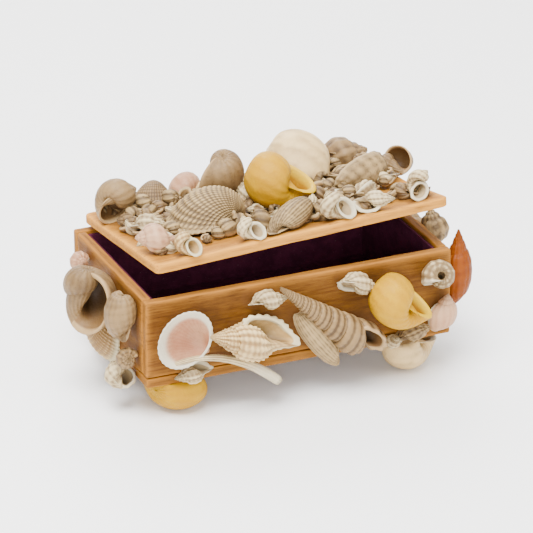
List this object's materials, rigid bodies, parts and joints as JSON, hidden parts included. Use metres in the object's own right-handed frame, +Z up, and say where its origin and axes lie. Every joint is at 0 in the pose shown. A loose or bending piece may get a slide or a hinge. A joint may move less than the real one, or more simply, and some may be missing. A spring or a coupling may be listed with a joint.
{
  "type": "shell box",
  "caption": "Small wooden keepsake box crusted with sea shells, on shell feet, with a velvet lining and a hinged lid standing ajar.",
  "frame": {"origin": "bottom centre of the whole piece's box, on the ground, at rest with the lid ajar", "axes": "+X along the front edge to the viewer's right, +Y to the back, where the hinge is, +Z up"},
  "size_m": [0.143, 0.0998, 0.0734],
  "materials": {
    "board_wood": "varnished thin boards, worn along the edges, with darker glue stains",
    "velvet_lining": "dark purple velvet",
    "hinge_leather": "thin tan leather strip",
    "shell_white": "chalky to satin white sea shell",
    "shell_cream": "satin cream sea shell",
    "shell_grey": "weathered grey-beige ribbed sea shell",
    "shell_tan": "tan to brown sea shell",
    "shell_yellow": "smooth yellow moon snail shell",
    "shell_pink": "pink sea shell",
    "shell_orange": "orange sea shell"
  },
  "bodies": {
    "box": {"back_board": "board_wood", "back_cockle": "shell_grey", "back_moon_snail": "shell_cream", "back_whelk": "shell_cream", "box_lining": "velvet_lining", "floor_board": "board_wood", "foot_back_left": "shell_cream", "foot_back_right": "shell_tan", "foot_front_left": "shell_yellow", "foot_front_right": "shell_cream", "front_board": "board_wood", "front_great_whelk": "shell_cream", "front_knobby_whelk": "shell_white", "front_low_chip": "shell_grey", "front_open_clam": "shell_pink", "front_pink_snail": "shell_pink", "front_ribbed_blade": "shell_grey", "front_rim_whelk": "shell_white", "front_ring_snail": "shell_white", "front_small_whelk": "shell_white", "front_turret": "shell_tan", "front_tusk": "shell_white", "front_yellow_moon_snail": "shell_yellow", "hinge_strip_lower": "hinge_leather", "left_board": "board_wood", "left_brown_snail": "shell_tan", "left_cowrie": "shell_pink", "left_cream_clam": "shell_cream", "left_open_mouth_snail": "shell_tan", "left_rim_chip": "shell_pink", "left_white_snail": "shell_white", "right_board": "board_wood", "right_cockle": "shell_cream", "right_moon_snail": "shell_tan", "right_orange_olive": "shell_orange", "right_rim_snail": "shell_grey"},
    "lid": {"hinge_strip_upper": "hinge_leather", "lid_big_cockle": "shell_grey", "lid_board": "board_wood", "lid_brown_snail": "shell_tan", "lid_corner_snail": "shell_white", "lid_cream_moon_snail": "shell_cream", "lid_cream_snail": "shell_cream", "lid_dark_mouth_snail": "shell_tan", "lid_front_whelk": "shell_white", "lid_grey_olive": "shell_grey", "lid_grey_spindle": "shell_grey", "lid_knobby_whelk": "shell_white", "lid_left_moon_snail": "shell_tan", "lid_lining": "velvet_lining", "lid_open_mouth_snail": "shell_white", "lid_pale_snail": "shell_pink", "lid_pinkish_snail": "shell_pink", "lid_ribbed_blade": "shell_grey", "lid_ring_snail": "shell_white", "lid_small_snail": "shell_white", "lid_tan_cockle": "shell_tan", "lid_upright_snail": "shell_grey", "lid_white_whelk": "shell_white", "lid_yellow_moon_snail": "shell_yellow"}
  },
  "joints": [
    {"name": "lid_hinge", "type": "hinge", "parent": "box", "child": "lid", "pos_m": [-0.05315, 0.03567, 0.04325], "axis": [-1, 0, 0], "range_deg": [-6.5, 92]}
  ]
}
